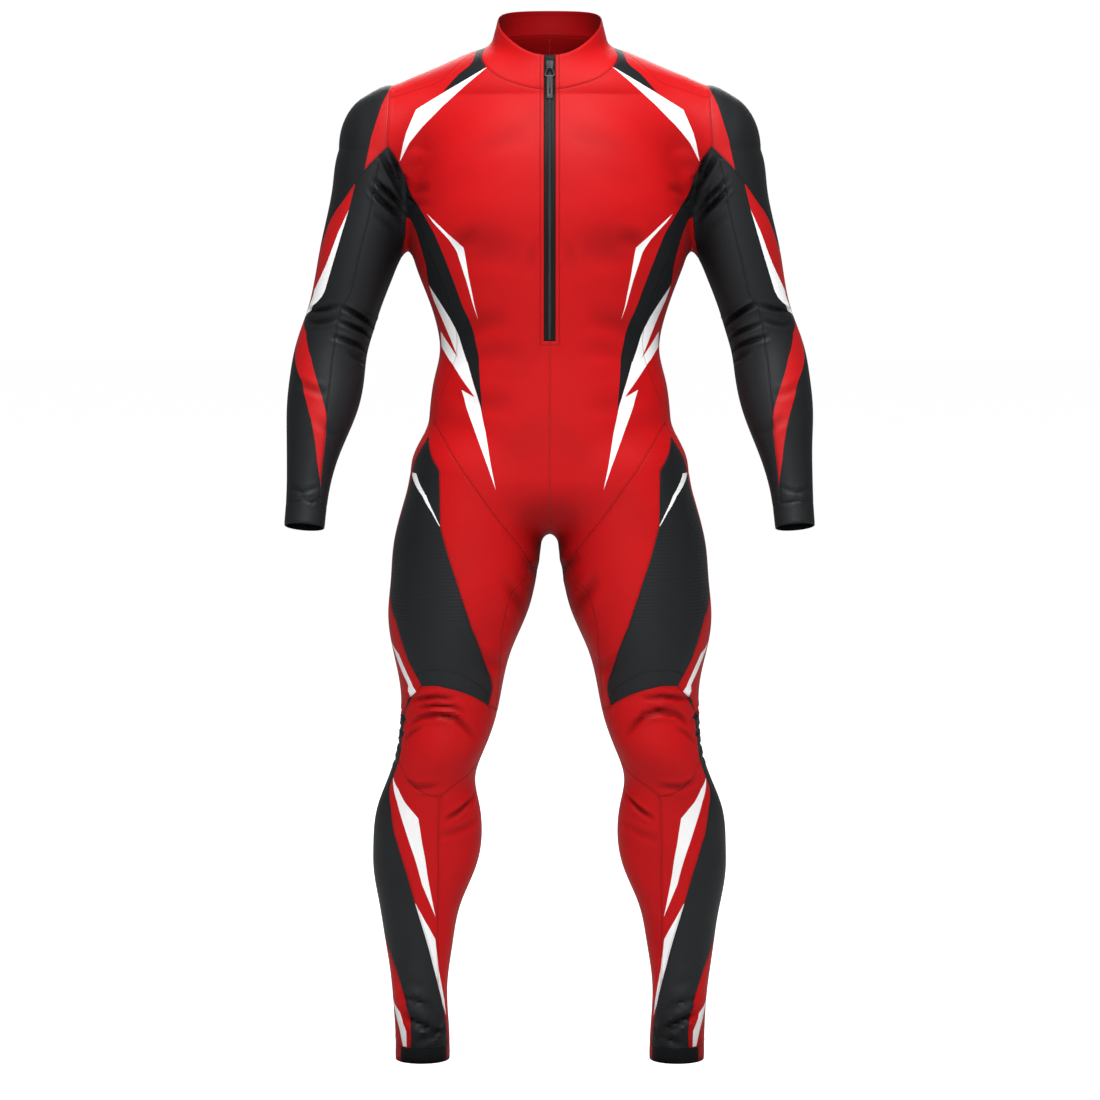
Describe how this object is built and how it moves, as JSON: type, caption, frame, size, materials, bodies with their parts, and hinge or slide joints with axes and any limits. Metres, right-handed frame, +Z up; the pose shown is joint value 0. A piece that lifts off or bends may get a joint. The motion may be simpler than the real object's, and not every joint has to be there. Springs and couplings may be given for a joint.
{
  "type": "ski race suit",
  "caption": "Close-fitting one-piece ski race suit with a stand collar, front zip, long sleeves and long legs, hollow, standing as if worn.",
  "frame": {"origin": "centre of the base of the neck, midway between the shoulders that hold the suit up", "axes": "+Z up, the suit faces -Y, the wearer's left is +X"},
  "size_m": [0.7468, 0.2389, 1.5046],
  "materials": {
    "red_knit": "satin stretch knit, red with printed white and black blades",
    "black_knit": "satin stretch knit, charcoal black",
    "zip_tape": "woven tape with a closed coil chain, black",
    "slider_metal": "grey plated die casting",
    "pull_tab_plastic": "moulded, dark grey"
  },
  "bodies": {
    "suit": {"front_right": "red_knit", "back_right": "red_knit", "sleeve_cap_right": "black_knit", "sleeve_outer_right": "black_knit", "sleeve_inner_right": "black_knit", "cuff_right": "black_knit", "thigh_panel_right": "black_knit", "thigh_front_right": "red_knit", "thigh_inner_right": "red_knit", "thigh_back_right": "red_knit", "knee_right": "red_knit", "shin_outer_right": "red_knit", "shin_inner_right": "red_knit", "calf_panel_right": "black_knit", "calf_back_right": "red_knit", "hem_right": "black_knit", "front_left": "red_knit", "back_left": "red_knit", "sleeve_cap_left": "black_knit", "sleeve_outer_left": "black_knit", "sleeve_inner_left": "black_knit", "cuff_left": "black_knit", "thigh_panel_left": "black_knit", "thigh_front_left": "red_knit", "thigh_inner_left": "red_knit", "thigh_back_left": "red_knit", "knee_left": "red_knit", "shin_outer_left": "red_knit", "shin_inner_left": "red_knit", "calf_panel_left": "black_knit", "calf_back_left": "red_knit", "hem_left": "black_knit", "collar": "red_knit", "zip_tape": "zip_tape", "zip_slider": "slider_metal", "slider_bridge": "slider_metal"},
    "pull_tab": {"pull_tab": "pull_tab_plastic"}
  },
  "joints": [
    {"name": "pull_tab_hinge", "type": "hinge", "parent": "suit", "child": "pull_tab", "pos_m": [0, -0.08336, -0.03386], "axis": [-1, 0, 0], "range_deg": [0, 150]}
  ]
}
